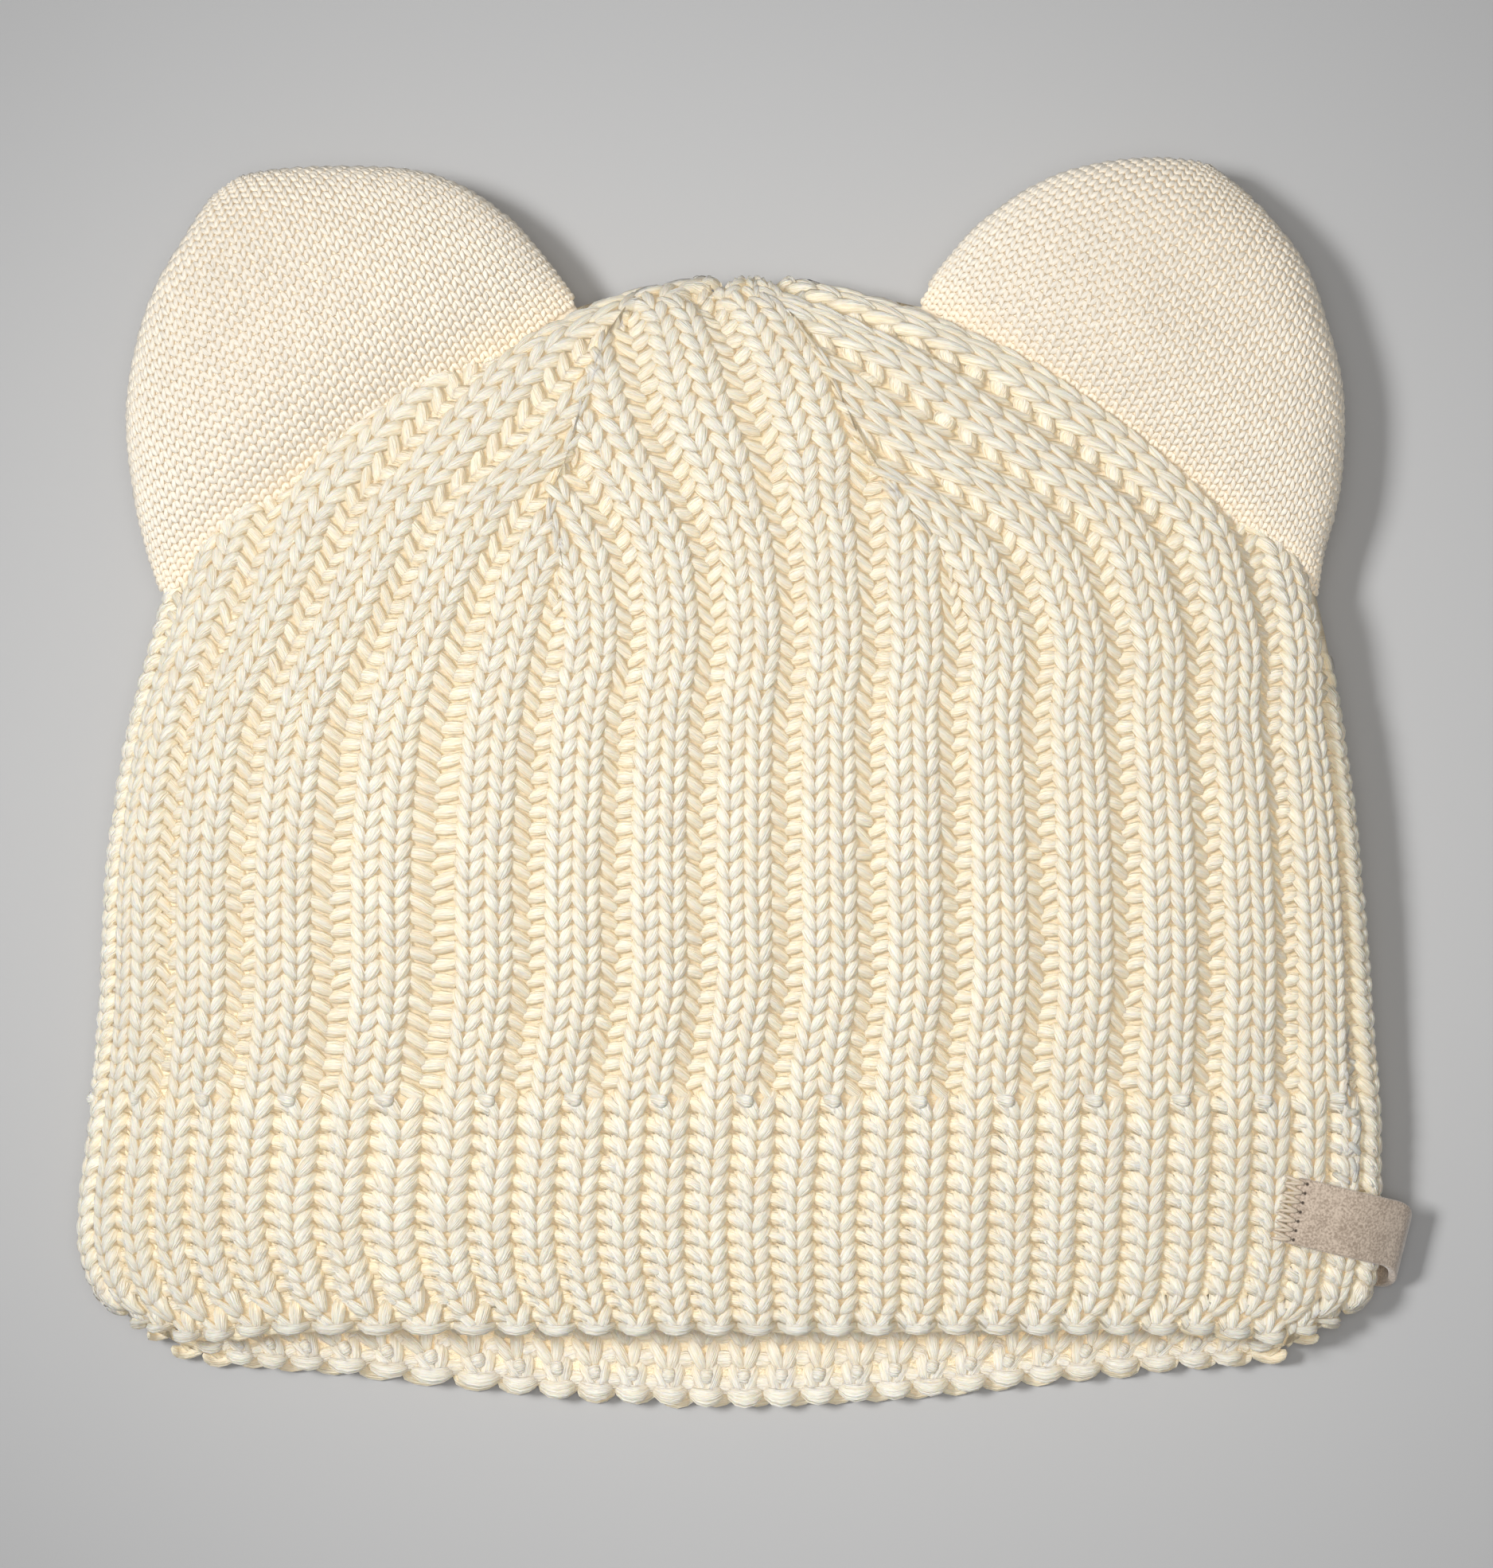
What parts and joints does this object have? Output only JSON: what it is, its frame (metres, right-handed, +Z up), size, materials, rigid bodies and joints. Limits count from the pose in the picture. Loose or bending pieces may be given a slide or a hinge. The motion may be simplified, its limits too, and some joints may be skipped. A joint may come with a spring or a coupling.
{
  "type": "baby hat with ears",
  "caption": "Infant's knitted beanie with a ribbed brim, padded round ears at the crown and a plain suede hem label, lying flat.",
  "frame": {"origin": "the resting point: the flat crest of the middle back rib, where the hat lies on a surface", "axes": "+X across the hat towards the label, +Y from the rim to the crown, +Z up from the surface to the front of the hat"},
  "size_m": [0.1854, 0.1721, 0.028],
  "materials": {
    "yarn": "matte",
    "jersey": "matte",
    "suede": "matte",
    "thread": "satin"
  },
  "bodies": {
    "root": {"knit_body": "yarn", "left_ear": "jersey", "right_ear": "jersey", "label_loop": "suede"}
  },
  "joints": []
}
